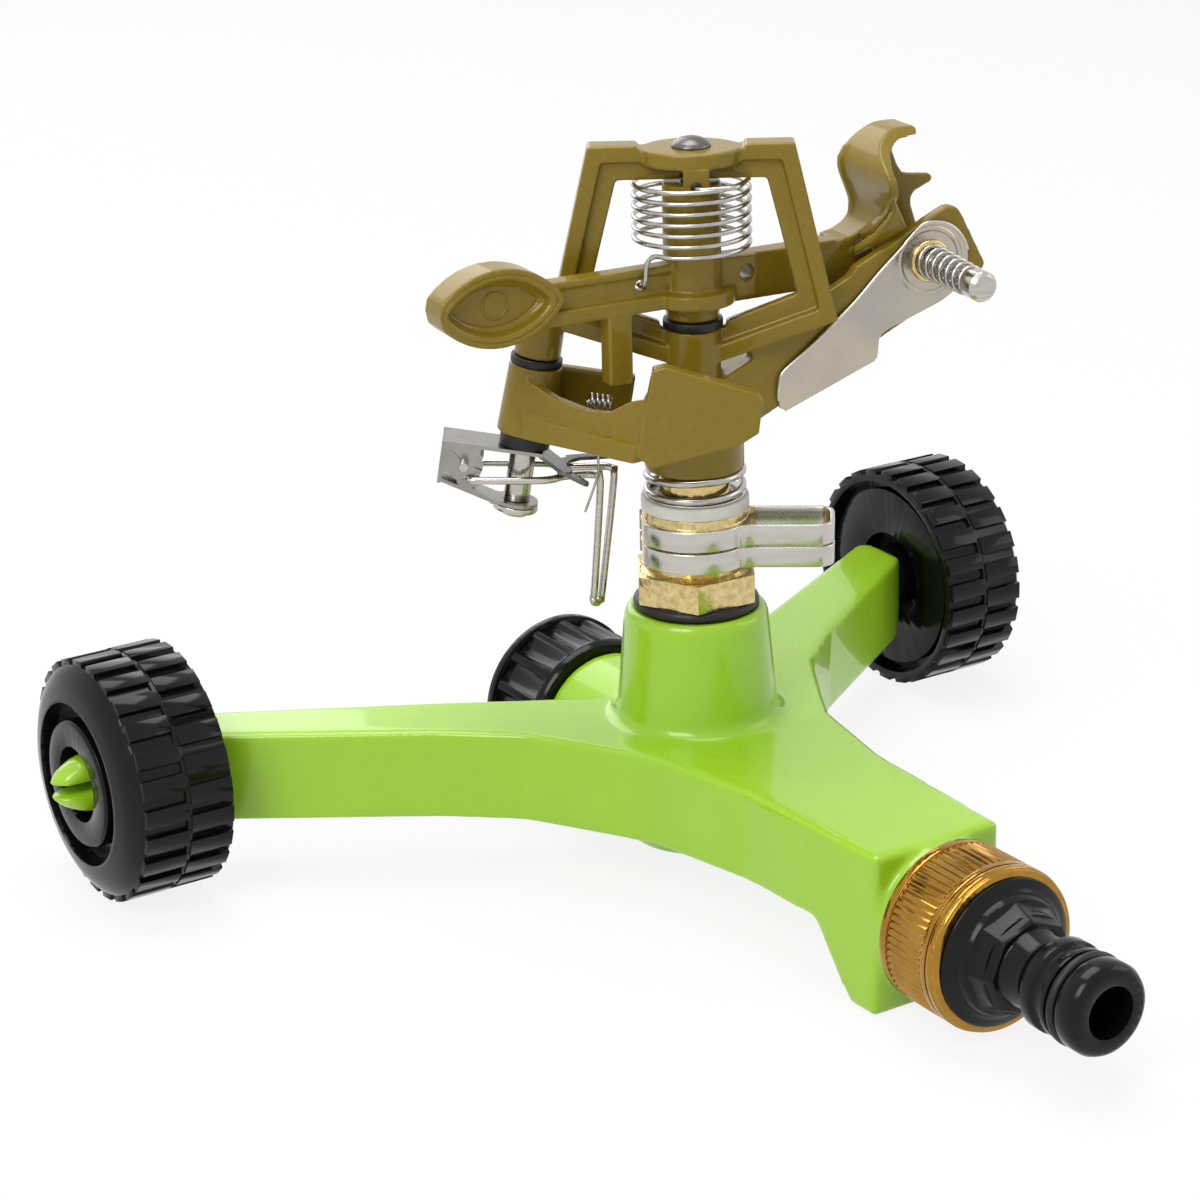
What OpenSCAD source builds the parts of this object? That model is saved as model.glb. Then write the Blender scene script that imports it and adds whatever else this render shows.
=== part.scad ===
// Impulse sprinkler on a cast base with two wheels.
// The riser axis is vertical, the inlet faces -Y and the ground is Z = 0.

/* [Base] */
// Height of the top face of the three arms
arm_top_z = 31.2; // [30.8:0.1:32]
// Height of the lower edge of the wheel arms
arm_low_z = 13; // [12:0.1:14]
// Distance from the riser axis to the inlet face
front_len = 75.3; // [74:0.1:80]
// Half width of the front arm at the inlet face
front_half_w = 13.9; // [13.6:0.1:14.4]
// Distance from the centre plane to the end of a wheel arm
arm_end_x = 84.8; // [84.4:0.1:85]
// Height of the top of the riser boss
boss_top_z = 53.6; // [53.4:0.1:53.8]
// Radius of the riser boss at its top
boss_top_r = 13.9; // [13.6:0.1:14.4]
// Radius of the riser boss at the arms
boss_foot_r = 15.6; // [15:0.1:16.4]
// Height of the water way through the base
water_z = 16.6; // [16.4:0.1:17]
// Radius of the water way
water_r = 6; // [5:0.1:6.5]
// Height of the rear outlet's axis
outlet_z = 17.6; // [17.5:0.1:17.8]
// Wall between a wheel arm's pocket and its outside
arm_wall = 3; // [2.6:0.1:3.2]

/* [Wheels] */
// Wheel radius over the tread
wheel_r = 24; // [23.9:0.1:24.2]
// Distance of the axle behind the riser axis
wheel_y = 52.9; // [52.5:0.1:53.3]
// Distance from the centre plane to the inner edge of the tread
wheel_in_x = 86.1; // [86:0.1:86.4]
// Distance from the centre plane to the outer edge of the tread
wheel_out_x = 105.2; // [105:0.1:105.6]
// Radius of the axle ends
axle_r = 4.7; // [4.5:0.1:4.9]
// Number of tread blocks round the wheel
tread_n = 26; // [22:1:30]
// Height of the tread blocks
tread_h = 1.1; // [0.9:0.1:1.3]

/* [Inlet and outlet] */
// Radius over the inlet and outlet threads
thread_r = 13.2; // [13.1:0.05:13.3]
// Radius of the knurled coupling ring
ring_r = 15.5; // [15.3:0.1:16]
// Length of the coupling ring
ring_len = 15.3; // [15:0.1:15.6]
// Distance from the inlet face to the end of the spigot
spigot_reach = 46.9; // [46.5:0.1:48]
// Radius of the spigot
spigot_r = 8.6; // [8.5:0.05:8.8]
// Radius of the spigot's bore
spigot_bore_r = 4.9; // [4.5:0.1:5.2]
// Radius of the rear cap
cap_r = 17.2; // [17:0.1:17.3]
// Radius of the rear outlet neck
outlet_r = 14.6; // [14.2:0.1:14.8]

/* [Riser] */
// Width of the hexagon across its flats
hex_af = 22; // [21.5:0.1:22.4]
// Radius of the seat under the two collars
seat_r = 10.2; // [10.1:0.05:10.3]
// Radius of the bearing tube
tube_r = 6.7; // [6.6:0.05:6.8]
// Thickness of the collar strip
strip_t = 0.9; // [0.8:0.05:1]
// Height of a collar strip
strip_h = 4.1; // [3.9:0.05:4.2]
// Reach of the collar tabs from the riser axis
tab_reach = 26.5; // [25.5:0.1:27.5]
// Wire of the riser spring
riser_wire = 1.4; // [1.3:0.05:1.45]
// Outer radius of the riser spring
riser_coil_r = 9.85; // [9.6:0.05:9.9]

/* [Head] */
// Turn of the head from the sideways direction, about the riser axis
head_angle = 32.65; // [28:0.05:36]
// Upward tilt of the barrel
barrel_tilt = 27; // [26.6:0.1:27.4]
// Sideways turn of the barrel from the bridge
barrel_yaw = 22; // [21.6:0.1:22.4]
// Height at which the barrel's axis crosses the riser axis
barrel_z = 91; // [90.8:0.1:91.2]
// Half depth of the bridge frame
bridge_half_t = 2.7; // [2.5:0.05:2.9]
// Height of the top of the bridge corners
bridge_top_z = 143.4; // [143.2:0.1:143.8]
// Width of the bridge's outer flange
bridge_flange = 3.2; // [3:0.05:3.4]
// Radius of the two arcs that make the disc on top of the bridge
disc_r = 10.3; // [10.1:0.1:10.5]

/* [Hammer arm] */
// Turn of the hammer arm from the bridge
arm_yaw = 26.6; // [26.4:0.1:27]
// Radius of the arm's sleeve
sleeve_r = 5.45; // [5.35:0.05:5.6]
// Radius of the arm's pivot pin
arm_pin_r = 1.9; // [1.8:0.05:2]
// Reach of the cup end from the pivot
cup_reach = 54.4; // [53.8:0.1:55]
// Outer radius of the arm spring
arm_coil_r = 11.2; // [11:0.05:11.3]
// Wire of the arm spring
arm_wire = 0.93; // [0.85:0.05:1]

/* [Reversing gear] */
// Tilt of the reversing gear's post in the plane of the bridge
post_tilt = 9.5; // [9.4:0.1:9.6]
// Radius of the post
post_r = 1.9; // [1.8:0.05:2]
// Radius of the reversing lever's boss
lever_boss_r = 5.2; // [5.1:0.05:5.4]
// Thickness of the reversing vane
vane_t = 3.5; // [3.2:0.1:3.8]
// Thickness of the trip bracket's sheet
trip_t = 0.7; // [0.6:0.05:0.75]
// Wire of the trip hairpin
trip_wire_d = 1.45; // [1.3:0.05:1.5]

/* [Deflector] */
// Thickness of the deflector's sheet
flap_t = 0.8; // [0.7:0.05:0.9]
// Radius of the deflector pin
flap_pin_r = 1.5; // [1.4:0.05:1.6]
// Length of the deflector pin outside the cheek
flap_pin_len = 22.5; // [22:0.1:23]

/* [Hidden] */
$fn = 64;
front_y = -(front_len + spigot_reach);
back_y = wheel_y + wheel_r;
shift_y = -(front_y + back_y) / 2;
wheel_bulge_x = wheel_out_x + 2.7;
fit = 0.05;
casting_z = 81.1;
tube_top_z = 93;
bush_x = -30.6;
bush_z = 95;
pin_s = 53.1;
pin_n = 1.8;
cheek_b = 5;
arm_hub_z = 110.2;
sleeve_top_z = bridge_top_z - 7.2;
disc_z = bridge_top_z - 3.8;
lug_z = bridge_top_z - 8.5;
hook_z = bridge_top_z - 6.8;
coil_z0 = 124;
coil_z1 = bridge_top_z - 6.6;

green = "#8fd325";
black = "#17181a";
olive = "#7b6a22";
brass = "#c9a24a";
gold = "#c8862c";
steel = "#b9bbbd";

// A wire of n-sided section swept along a path without twisting about itself.
function unit(v) = v / norm(v);
function path_dir(p, i) =
  i == 0 ? unit(p[1] - p[0]) :
  i == len(p) - 1 ? unit(p[i] - p[i - 1]) : unit(unit(p[i + 1] - p[i]) + unit(p[i] - p[i - 1]));
function side_dir(t) = abs(t.z) < 0.8 ? unit(cross([0, 0, 1], t)) : unit(cross([0, 1, 0], t));
function carry(n, t) = unit(n - (n * t) * t);
function path_sides(p, i = 0, acc = []) =
  i == len(p) ? acc :
  path_sides(p, i + 1, concat(acc, [
    i == 0 ? side_dir(path_dir(p, 0)) : carry(acc[i - 1], path_dir(p, i))
  ]));
module wire(p, r, sides = 6) {
  ns = path_sides(p);
  n = len(p);
  pts = [
    for (i = [0 : n - 1])
      for (k = [0 : sides - 1])
        p[i] + r * (cos(360 * k / sides) * ns[i] + sin(360 * k / sides) * cross(path_dir(p, i), ns[i]))
  ];
  walls = [
    for (i = [0 : n - 2])
      for (k = [0 : sides - 1])
        for (h = [0 : 1])
          h == 0 ?
          [i * sides + k, (i + 1) * sides + k, i * sides + (k + 1) % sides] :
          [(i + 1) * sides + k, (i + 1) * sides + (k + 1) % sides, i * sides + (k + 1) % sides]
  ];
  last = (n - 1) * sides;
  ends = [
    for (k = [1 : sides - 2])
      for (h = [0 : 1])
        h == 0 ? [0, k, k + 1] : [last, last + k + 1, last + k]
  ];
  polyhedron(points = pts, faces = concat(walls, ends), convexity = 10);
}
// Points of a helix about the Z axis: radius, start and end height, turns, start angle, growth of the radius.
function helix(r, z0, z1, turns, a0, grow = 0) = [
  for (i = [0 : ceil(turns * 8)])
    let (q = i / ceil(turns * 8), k = r + grow * q)
    [k * cos(a0 + 360 * turns * q), k * sin(a0 + 360 * turns * q), z0 + (z1 - z0) * q]
];
// Smooth curve through points, m steps between each two of them.
function curve(p, m = 4) = concat([
  for (i = [0 : len(p) - 2])
    for (j = [0 : m - 1])
      let (t = j / m, a = p[max(i - 1, 0)], b = p[i], c = p[i + 1], d = p[min(i + 2, len(p) - 1)])
      b + (c - a) * t / 2 + (2 * a - 5 * b + 4 * c - d) * t * t / 2 + (3 * b - a - 3 * c + d) * t * t * t / 2
], [p[len(p) - 1]]);

// Least gap of a wire to itself, between points more than half a turn apart.
function least_gap(p, r) =
  min([for (i = [0 : len(p) - 6]) for (j = [i + 5 : len(p) - 1]) norm(p[i] - p[j])]) - 2 * r;

// Frames of the head, the barrel, the hammer arm and the tilted post.
module head() {
  rotate([0, 0, -head_angle]) children();
}
module barrel_frame() {
  head() rotate([0, 0, barrel_yaw]) translate([0, 0, barrel_z]) rotate([0, -barrel_tilt, 0]) children();
}
module arm_frame() {
  head() rotate([0, 0, arm_yaw]) children();
}
module post_frame() {
  head() translate([bush_x, 0, bush_z]) rotate([0, post_tilt, 0]) children();
}
module ring(r_out, r_in, z0, z1) {
  translate([0, 0, z0])
  difference() {
    cylinder(r = r_out, h = z1 - z0);
    translate([0, 0, -1]) cylinder(r = r_in, h = z1 - z0 + 2);
  }
}
// Bodies round the horizontal water way: y0 and y1 are distances along it.
module lying(r, y0, y1, z = water_z) {
  translate([0, y0, z]) rotate([-90, 0, 0]) cylinder(r = r, h = y1 - y0);
}

module arm_plan() {
  for (m = [0, 1]) mirror([m, 0])
    polygon([
      [-1, -front_len], [front_half_w, -front_len], [front_half_w + 1.6, -38], [20.3, -15.5],
      [24.6, -7.6], [30.3, 2.1], [34.5, 9.1], [46.6, 19.4], [arm_end_x - 3, 43], [arm_end_x, 45.6],
      [arm_end_x, 56.6], [arm_end_x - 2.4, 58], [41, 34.6], [8.6, 15.2], [-1, 15.2]
    ]);
}
module arm_pocket() {
  k = arm_wall * 1.17;
  for (m = [0, 1]) mirror([m, 0])
    polygon([
      [33.6, 9 + k], [46.6, 19.4 + k], [arm_end_x - 7.5, 40 + k], [arm_end_x - 7.5, 54.9 - k],
      [41, 34.6 - k], [24, 24.6 - k]
    ]);
}
module base_casting() {
  color(green)
  difference() {
    union() {
      translate([0, 0, arm_low_z]) linear_extrude(arm_top_z - arm_low_z) arm_plan();
      intersection() {
        linear_extrude(arm_top_z) arm_plan();
        translate([40, 0, 0]) rotate([90, 0, -90]) linear_extrude(80)
          polygon([[front_len + 1, -1], [front_len + 1, arm_top_z], [56, arm_top_z],
            [57.6, arm_low_z], [67.6, 0], [67.6, -1]]);
      }
      rotate_extrude() polygon([
        [0, 6], [13.6, 6], [17, 12], [17.6, arm_low_z + 1], [17.6, arm_top_z - 1], [17.6, arm_top_z],
        [boss_foot_r + 0.5, arm_top_z + 0.7], [boss_foot_r, arm_top_z + 2],
        [boss_top_r, boss_top_z - 1.6], [boss_top_r - 0.5, boss_top_z - 0.4], [boss_top_r - 1.4, boss_top_z],
        [0, boss_top_z]
      ]);
      lying(14, -front_len - 3.1, -front_len + 2);
      lying(thread_r, -front_len - 13.6, -front_len);
      lying(9.5, -front_len + 4, 12);
      lying(outlet_r, 4, 33.5, outlet_z);
      lying(thread_r, 30, 46, outlet_z);
      for (m = [-1, 1])
        translate([m * (arm_end_x - 4), wheel_y, wheel_r]) rotate([0, m * 90, 0]) axle_end();
    }
    lying(water_r, -front_len - 20, 8);
    lying(water_r, 0, 60, outlet_z);
    translate([0, 0, arm_low_z - 5]) linear_extrude(arm_top_z - arm_low_z + 0.8) arm_pocket();
    translate([0, 0, water_z + 2]) cylinder(r = 9.6, h = 30);
    translate([0, 0, 38.5]) cylinder(r = 10.45, h = 30);
    translate([0, 0, boss_top_z - 0.6]) cylinder(r = 12.2, h = 3);
  }
}
// Split axle end: a round pin, a barb behind the wheel and a slot that lets it spring together.
module axle_end() {
  x0 = arm_end_x - 4;
  difference() {
    rotate_extrude() polygon([
      [0, 0], [7.2, 0], [7.2, 4.3], [axle_r, 4.3], [axle_r, 104.4 - x0], [5.9, 104.4 - x0],
      [5.9, 105.2 - x0], [5.3, 108 - x0], [3.8, 111 - x0], [1.5, 113.4 - x0], [0, 113.4 - x0]
    ]);
    translate([-1, -10, 96 - x0]) cube([2, 20, 30]);
    for (m = [-1, 1]) translate([-10, m * 8.4 - 5, 104 - x0]) cube([20, 10, 30]);
  }
}
module tread_row(x0, x1, turn) {
  translate([0, 0, x0])
  linear_extrude(x1 - x0)
  difference() {
    polygon([
      for (i = [0 : tread_n - 1])
        for (q = [[-0.5, wheel_r - tread_h - 0.6], [-0.36, wheel_r - tread_h - 0.6], [-0.3, wheel_r],
            [0.3, wheel_r], [0.36, wheel_r - tread_h - 0.6]])
          let (a = 360 * (i + turn + q[0]) / tread_n)
          q[1] * [cos(a), sin(a)]
    ]);
    circle(r = wheel_r - tread_h - 1.3);
  }
}
module wheel() {
  mid = (wheel_in_x + wheel_out_x) / 2;
  difference() {
    union() {
      rotate_extrude() polygon([
        [3, 85.4], [6.5, 85.4], [6.5, 92], [9.7, 92], [9.7, 87.4], [19.5, 87.4], [19.5, 90],
        [21.5, 90], [21.5, wheel_in_x], [wheel_r - tread_h, wheel_in_x],
        [wheel_r - tread_h, wheel_out_x - 0.6], [wheel_r - tread_h - 0.4, wheel_out_x],
        [21.2, wheel_out_x + 1], [19.4, wheel_out_x + 1.9], [17.5, wheel_bulge_x - 0.3],
        [16.1, wheel_bulge_x], [16.1, wheel_bulge_x - 3.4], [12.6, wheel_bulge_x - 3.4],
        [12.6, wheel_bulge_x - 0.5], [12.1, wheel_bulge_x], [7.5, wheel_bulge_x], [7.5, 104], [3, 104]
      ]);
      tread_row(wheel_in_x + 0.4, mid - 0.3, 0);
      tread_row(mid + 0.3, wheel_out_x - 0.5, 0.5);
      translate([0, 0, mid - 0.5]) linear_extrude(1) difference() {
        circle(r = wheel_r - 0.35);
        circle(r = wheel_r - tread_h - 1.2);
      }
    }
    translate([0, 0, 80]) cylinder(r = axle_r + 0.08, h = 40);
  }
}
module left_wheel() {
  color(black) translate([0, wheel_y, wheel_r]) rotate([0, -90, 0]) wheel();
}
module right_wheel() {
  color(black) translate([0, wheel_y, wheel_r]) rotate([0, 90, 0]) wheel();
}
module boss_oring() {
  color(black) rotate_extrude() translate([10.95, boss_top_z + 0.6]) circle(r = 1.15, $fn = 20);
}

// The coupling lies along -Y: local Z runs outwards from the inlet face.
module inlet_frame() {
  translate([0, -front_len, water_z]) rotate([90, 0, 0]) children();
}
module coupling_ring() {
  z0 = 3.1;
  color(gold)
  inlet_frame()
  difference() {
    union() {
      translate([0, 0, z0]) cylinder(r = ring_r - 0.35, h = ring_len);
      translate([0, 0, z0]) cylinder(r = ring_r, h = 1.7);
      translate([0, 0, z0 + 1.9]) linear_extrude(ring_len - 6) polygon([
        for (i = [0 : 143]) (ring_r - (i % 2) * 0.45) * [cos(2.5 * i), sin(2.5 * i)]
      ]);
      translate([0, 0, z0 + ring_len - 3.8]) cylinder(r = ring_r, h = 1.2);
      translate([0, 0, z0 + ring_len - 2.2]) cylinder(r = ring_r, h = 1.2);
      translate([0, 0, z0 + ring_len - 1.2]) cylinder(r1 = ring_r, r2 = ring_r - 0.8, h = 1.2);
    }
    translate([0, 0, 0]) cylinder(r = thread_r + fit, h = z0 + 12.4);
    cylinder(r = 11.6, h = 40);
  }
}
module tap_adapter() {
  tip = spigot_reach;
  color(black)
  inlet_frame()
  difference() {
    union() {
      rotate_extrude() polygon([
        [0, 15.3], [12.6, 15.3], [12.6, 15.45], [11.5, 15.5], [11.5, 20], [10.9, 21.4],
        [9.3, 22], [9.3, 24.6], [0, 24.6]
      ]);
      translate([0, 0, 20]) cylinder(r1 = 11.2, r2 = 8.9, h = 6.4, $fn = 8);
      rotate_extrude() polygon([
        [0, 24], [8.3, 24], [7.1, 28], [6.7, 30.5], [7.4, 32], [spigot_r, 33.2], [spigot_r, 35.4],
        [7.7, 36], [7.7, 37.6], [8.4, 38], [8.4, 39.2], [6.9, 39.4], [6.9, 41.8], [8.4, 42],
        [spigot_r, 42.6], [spigot_r, tip - 1.6], [spigot_r - 0.6, tip - 0.5], [spigot_r - 1.4, tip],
        [0, tip]
      ]);
    }
    cylinder(r = spigot_bore_r, h = 80);
  }
}
module adapter_oring() {
  color(black) inlet_frame() rotate_extrude() translate([7.85, 40.6]) circle(r = 0.9, $fn = 16);
}
module inlet_washer() {
  color("#3a3c3e") inlet_frame() ring(12.4, 5.4, 13.62, 15.28);
}
module cap_washer() {
  color("#3a3c3e") translate([0, 0, outlet_z]) rotate([-90, 0, 0]) ring(12.6, 5.4, 46.02, 48);
}
// Fluted cap: scallops cut between the lands, a plain flange at its far end.
module rear_cap() {
  color(black)
  translate([0, 0, outlet_z]) rotate([-90, 0, 0])
  difference() {
    union() {
      translate([0, 0, 33.9]) cylinder(r1 = cap_r - 1.2, r2 = cap_r - 0.5, h = 1.2);
      translate([0, 0, 35.1]) cylinder(r = cap_r - 0.5, h = 14.5);
      translate([0, 0, 49.5]) cylinder(r = cap_r, h = 1.7);
    }
    for (i = [0 : 15]) rotate([0, 0, 22.5 * i + 11.25])
      translate([cap_r + 1.6, 0, 35.9]) cylinder(r = 3.4, h = 13.4, $fn = 24);
    translate([0, 0, 30]) cylinder(r = thread_r + fit, h = 18.05);
  }
}

module nipple() {
  color(brass)
  difference() {
    union() {
      translate([0, 0, 38.6]) cylinder(r = 10.4, h = 14.2);
      translate([0, 0, 50]) cylinder(r = 9.7, h = 8);
      translate([0, 0, boss_top_z + 1.8]) rotate([0, 0, -90 - head_angle])
        cylinder(r = hex_af / 2 / cos(30), h = 5.6, $fn = 6);
      translate([0, 0, 61]) cylinder(r1 = 10.6, r2 = 9.6, h = 0.9);
      translate([0, 0, 61.8]) cylinder(r = seat_r, h = 9.7);
      translate([0, 0, 71.4]) cylinder(r = seat_r - 0.1, h = 1.65);
    }
    translate([0, 0, 30]) cylinder(r = tube_r + fit, h = 60);
  }
}
module bearing_tube() {
  color(brass)
  difference() {
    union() {
      translate([0, 0, 33.8]) cylinder(r = 8.9, h = 2.2);
      translate([0, 0, 33.8]) cylinder(r = tube_r, h = tube_top_z - 33.8);
    }
    translate([0, 0, 30]) cylinder(r = 4.6, h = 80);
  }
}
module bearing_washer() {
  color("#e8e6df") ring(9.2, tube_r + fit, 36.02, 37.3);
}
module bearing_seal() {
  color(black) ring(9.2, tube_r + fit, 37.32, 38.58);
}
module nylon_washer() {
  color("#e8e6df") ring(10.3, tube_r + fit, 73.08, 75.5);
}
module steel_washer() {
  color(steel) ring(9.6, tube_r + fit, 75.52, 76);
}
// Riser spring: half a turn lies flat at each end, with one rising turn between.
function riser_path() = [
  for (i = [0 : 16])
    let (a = 100 + 45 * i, z0 = 76.02 + riser_wire / 2, z1 = casting_z - 0.02 - riser_wire / 2)
    [(riser_coil_r - riser_wire / 2) * cos(a), (riser_coil_r - riser_wire / 2) * sin(a),
      z0 + (z1 - z0) * min(max((i - 4) / 8, 0), 1)]
];
module riser_spring() {
  color(steel) head() wire(riser_path(), riser_wire / 2);
}
// A collar is one strip: a broken band round the seat and a loop that serves as a finger tab.
module collar_plan(r) {
  band = r + strip_t;
  difference() {
    union() {
      circle(r = band);
      translate([6, -6.6]) square([tab_reach - 8, strip_t]);
      translate([6, 4.1]) square([tab_reach - 8.6, strip_t]);
      difference() {
        polygon([[8, -6.6], [tab_reach - 2.6, -6.6], [tab_reach - 0.7, -5.6], [tab_reach, -3.6],
          [tab_reach, 2], [tab_reach - 0.9, 4.1], [tab_reach - 2.8, 5], [8, 5]]);
        polygon([[7, -6.6 + strip_t], [tab_reach - 2.9, -6.6 + strip_t], [tab_reach - 1.4, -5],
          [tab_reach - strip_t, -3.4], [tab_reach - strip_t, 1.8], [tab_reach - 1.6, 3.5],
          [tab_reach - 3, 5 - strip_t], [7, 5 - strip_t]]);
      }
    }
    circle(r = r);
    translate([4, -6.6 + strip_t]) square([10, 11.6 - 2 * strip_t]);
    translate([-20, -5.4]) square([12, 8.2]);
  }
}
module lower_collar() {
  color(steel) head() rotate([0, 0, -3.5])
    translate([0, 0, 62.8]) linear_extrude(strip_h) collar_plan(seat_r + fit);
}
module upper_collar() {
  color(steel) head() rotate([0, 0, -3.5])
    translate([0, 0, 67.2]) linear_extrude(strip_h) collar_plan(seat_r + fit);
}

// Bridge outline at a distance k inside its outer edge.
module bridge_outline(k) {
  polygon([
    [-19 + 0.75 * k, bridge_top_z - k], [19 - 0.75 * k, bridge_top_z - k],
    [26.9 - 1.1 * k, 109.4 + 0.75 * k], [5, 102 + 1.05 * k], [-5, 102 + 1.05 * k],
    [-26.9 + 1.1 * k, 109.4 + 0.75 * k]
  ]);
}
module head_casting() {
  color(olive)
  difference() {
    union() {
      head() {
        translate([0, 0, casting_z]) cylinder(r = 9.45, h = 13.4);
        translate([0, 0, casting_z + 13.4]) cylinder(r1 = 9.45, r2 = 5.2, h = 4.5);
        translate([0, 0, casting_z]) cylinder(r = 5.2, h = 108.4 - casting_z);
        rotate([90, 0, 0]) translate([0, 0, -bridge_half_t]) linear_extrude(2 * bridge_half_t)
          difference() {
            bridge_outline(0);
            bridge_outline(bridge_flange);
          }
        rotate([90, 0, 0]) translate([0, 0, -1.2]) linear_extrude(2.4)
          difference() {
            bridge_outline(bridge_flange - 0.5);
            bridge_outline(bridge_flange + 3.6);
          }
        translate([0, 0, disc_z]) linear_extrude(3) intersection() {
          translate([0, disc_r - 7.7]) circle(r = disc_r);
          translate([0, 7.7 - disc_r]) circle(r = disc_r);
        }
        translate([-1.6, -7.7, lug_z]) cube([4.6, 1.8, 5]);
      }
      post_frame() translate([0, 0, 8.6]) cylinder(r = 4.4, h = 7);
      barrel_frame() {
        translate([0, -cheek_b, -6.2]) cube([36, 2 * cheek_b, 11.2]);
        translate([14, -cheek_b, 0]) cube([20, 3.4, 7.9]);
        translate([0, -cheek_b + 2.6, 0]) rotate([90, 0, 0]) linear_extrude(2.6)
          polygon([[30, -6.4], [62.3, -6.4], [63.1, -5.6], [63.1, 6.2], [62.8, 7.4], [61.9, 8.4],
            [60.6, 8.8], [39.9, 8.8], [38, 7.9], [30, 7.9]]);
      }
    }
    head() {
      translate([0, 0, casting_z - 1]) cylinder(r = tube_r + 0.01, h = tube_top_z + 0.02 - casting_z + 1);
      translate([0, 0, casting_z]) cylinder(r = arm_pin_r + 0.01, h = 90);
      translate([0.7, -5, hook_z]) rotate([90, 0, 0]) cylinder(r = 0.9, h = 5, $fn = 24);
      translate([-9.9, -20, disc_z + 3]) cube([19.8, 40, 5]);
      translate([0, 0, 108.4]) cylinder(r = 6.2, h = 4);
    }
    barrel_frame() {
      translate([4, 0, 0]) rotate([0, 90, 0]) cylinder(r = 3.6, h = 60);
      translate([35.9, 0, 0]) rotate([0, 90, 0]) cylinder(r = 4.4, h = 1.7);
      translate([pin_s, 0, pin_n]) rotate([90, 0, 0]) cylinder(r = flap_pin_r + 0.01, h = 12);
    }
    post_frame() translate([0, 0, 8]) cylinder(r = post_r + 0.01, h = 6);
  }
}
module jet_nozzle() {
  color(brass)
  barrel_frame() translate([26, 0, 0]) rotate([0, 90, 0])
  difference() {
    union() {
      cylinder(r = 3.59, h = 10.6);
      translate([0, 0, 10.02]) cylinder(r = 4.2, h = 1.2, $fn = 6);
    }
    translate([0, 0, -1]) cylinder(r = 1.8, h = 20);
  }
}
// Pivot of the hammer arm, with a domed head over the disc.
module arm_pin() {
  color(steel) {
    translate([0, 0, 98]) cylinder(r = arm_pin_r, h = disc_z - 94.6);
    translate([0, 0, disc_z + 3.02]) rotate_extrude() polygon([
      [0, 0], [3.7, 0], [3.7, 0.5], [3.1, 1.5], [2.1, 2.3], [1.1, 2.7], [0, 2.8]
    ]);
  }
}
module arm_washer() {
  color(black) ring(5.65, arm_pin_r + fit, 108.5, 110.15);
}

// Rounded outline of the cup at the end of the hammer arm.
module cup_plan(k) {
  w = 13.2 - k;
  h = 7.35 - 0.8 * k;
  rr = (w * w + h * h) / (2 * h);
  intersection() {
    translate([0, h - rr]) circle(r = rr);
    translate([0, rr - h]) circle(r = rr);
  }
}
// Spoon of the hammer arm: a curved shield over the jet, a side wall below it, and a rear web with a tooth.
spoon_line = [
  [30, 121.3], [32.7, 121.8], [35.6, 123.5], [37.1, 126.4], [36.2, 129.4], [34.9, 132.4], [34.5, 135.2],
  [35.8, 137.8], [38.6, 139.9], [42, 141.2], [46.4, 141.2]
];
module spoon_side(d) {
  c = curve(spoon_line);
  polygon(concat(c, [[46.8, 140.7], [46.2, 139.9]],
    [for (i = [len(c) - 5 : -1 : 1]) c[i] + d * [unit(c[i + 1] - c[i - 1]).y, -unit(c[i + 1] - c[i - 1]).x]],
    [[30, 121.3 - d]]));
}
// Flat slab over the outline of some points, in the plane of the first, third and fourth.
module slab(p, t) {
  e = unit(p[3] - p[0]);
  n = unit(cross(p[3] - p[0], p[2] - p[0]));
  f = cross(n, e);
  multmatrix([[e.x, f.x, n.x, p[0].x], [e.y, f.y, n.y, p[0].y], [e.z, f.z, n.z, p[0].z], [0, 0, 0, 1]])
    translate([0, 0, -t]) linear_extrude(t) polygon([for (q = p) [(q - p[0]) * e, (q - p[0]) * f]]);
}
module spoon() {
  intersection() {
    translate([0, 20, 0]) rotate([90, 0, 0]) linear_extrude(40) spoon_side(1.7);
    rotate([90, 0, 90]) linear_extrude(60)
      polygon(concat([[5, 117], [5, 142]], [[-1.6, 142]],
        curve([[-2, 141.4], [-5.1, 139.2], [-7.3, 138], [-10.5, 136.4], [-13, 134.4], [-13, 132.2],
          [-10.3, 129.3], [-7.4, 127.2], [-5.3, 125.5], [-3.6, 123.3], [-2.8, 121.9], [-2.4, 119], [-2.4, 117]])));
  }
  translate([0, 5, 0]) rotate([90, 0, 0]) linear_extrude(7.2) polygon([
    [29, 112.4], [29, 120.6], [36.4, 120.6], [38.4, 117.6], [43.3, 115], [43.4, 110.4], [41.4, 108.4],
    [36.4, 108.4], [36.4, 112.4]
  ]);
  slab([[33, -1.9, 118.6], [36.6, -4.2, 120.9], [41.2, -7.8, 124.4], [35.8, -12.4, 131.2], [36.8, -10, 128.8],
    [36.9, -7, 126.8], [35.8, -4.4, 123.8], [33, -2.2, 120.6]], 1.6);
  translate([0, 5, 0]) rotate([90, 0, 0]) linear_extrude(1.6) polygon(concat(
    curve([[35.6, 119], [36, 123], [36.4, 126.4], [35.4, 129.4], [34.2, 132.4], [33.9, 135.2], [35.2, 137.6]]),
    [[38.4, 138.8], [43.9, 138.9], [46.6, 132.4], [47.6, 130.9], [49.4, 130.4]],
    [[53.6, 129.9], [54.3, 129.4], [54.4, 128.7], [53.9, 128.2]],
    [[50.4, 126.8], [49.6, 125.6], [49.6, 124.4], [51, 120.4], [49.6, 112.8], [40, 112.4]]));
}
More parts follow.
